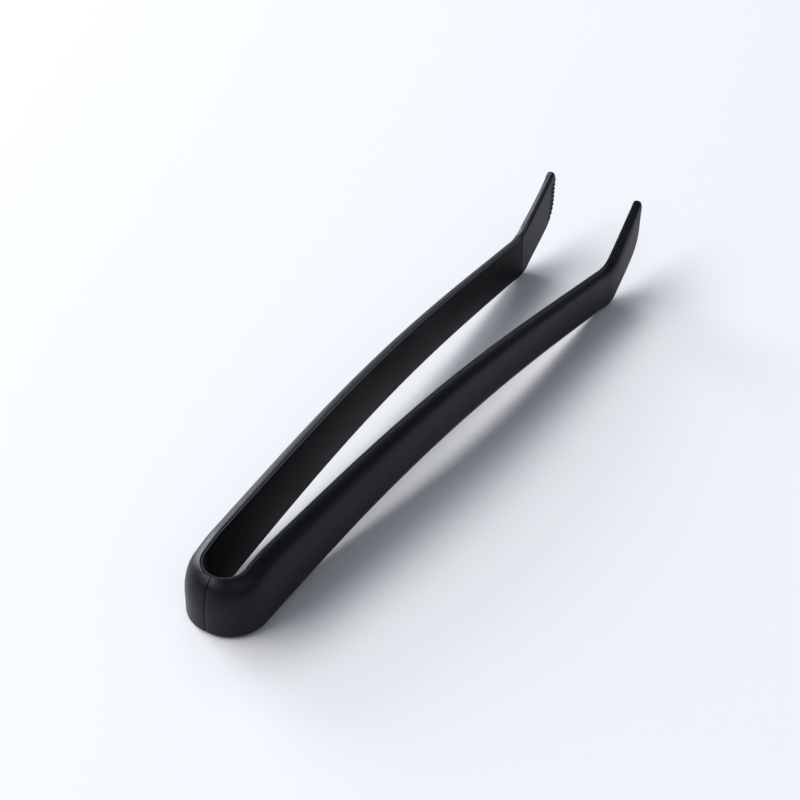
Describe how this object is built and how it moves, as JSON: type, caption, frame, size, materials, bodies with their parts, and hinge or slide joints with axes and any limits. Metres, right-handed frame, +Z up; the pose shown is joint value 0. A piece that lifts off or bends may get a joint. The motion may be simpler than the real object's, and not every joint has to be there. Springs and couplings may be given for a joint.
{
  "type": "ice tongs",
  "caption": "Small matt black spring tongs: a U-shaped heel with arched arms and upturned toothed jaws for picking up ice.",
  "frame": {"origin": "centre of the footprint, on the table plane the tongs lie on", "axes": "+X from the heel to the jaws, +Y across the opening towards the left arm, +Z up"},
  "size_m": [0.1675, 0.0282, 0.0227],
  "materials": {
    "black_moulding": "fine matt",
    "black_liner": "fine matt",
    "spring_steel": "bright"
  },
  "bodies": {
    "heel": {"heel_cover_left": "black_moulding", "heel_cover_right": "black_moulding", "heel_liner": "black_liner", "spring_bow": "spring_steel"},
    "arm_left": {"arm_cover_left": "black_moulding", "arm_liner_left": "black_liner", "spring_leg_left": "spring_steel", "jaw_pad_left": "black_liner"},
    "arm_right": {"arm_cover_right": "black_moulding", "arm_liner_right": "black_liner", "spring_leg_right": "spring_steel", "jaw_pad_right": "black_liner"}
  },
  "joints": [
    {"name": "left_flex", "type": "hinge", "parent": "heel", "child": "arm_left", "pos_m": [-0.05985, 0.00679, 0.009], "axis": [0, 0, -1], "range_deg": [0, 4.5], "stiffness_Nm_per_rad": 3},
    {"name": "right_flex", "type": "hinge", "parent": "heel", "child": "arm_right", "pos_m": [-0.05985, -0.00679, 0.009], "axis": [0, 0, 1], "range_deg": [0, 4.5], "stiffness_Nm_per_rad": 3}
  ],
  "couplings": [
    {"joint": "right_flex", "follows": "left_flex", "ratio": 1}
  ]
}
